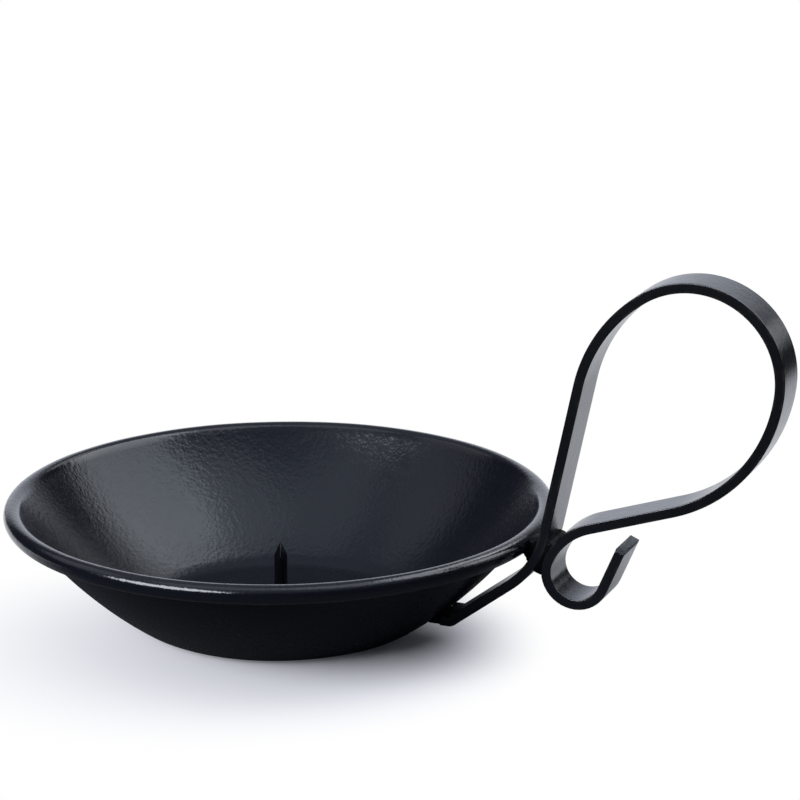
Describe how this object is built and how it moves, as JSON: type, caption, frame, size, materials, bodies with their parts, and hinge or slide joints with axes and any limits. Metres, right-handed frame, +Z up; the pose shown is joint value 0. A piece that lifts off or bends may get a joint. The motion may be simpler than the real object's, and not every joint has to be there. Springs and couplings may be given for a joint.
{
  "type": "chamberstick",
  "caption": "Black chamberstick: a shallow pan with a rolled rim and a candle spike, with a flat strip handle bent into a brace, a teardrop finger loop and an open hook.",
  "frame": {"origin": "middle of the pan's flat base, on its underside", "axes": "+Z up, +X along the handle, away from the pan"},
  "size_m": [0.1876, 0.13, 0.0914],
  "materials": {
    "pan_coat": "satin black powder coat, fine grain",
    "strip_coat": "satin black powder coat, fine grain",
    "spike_coat": "satin black powder coat over a drawn steel nail",
    "weld_coat": "black powder coat over weld metal"
  },
  "bodies": {
    "root": {"drip_pan": "pan_coat", "pricket_spike": "spike_coat", "handle_strip": "strip_coat", "spike_weld": "weld_coat", "rim_weld": "weld_coat", "loop_weld": "weld_coat", "foot_weld": "weld_coat"}
  },
  "joints": []
}
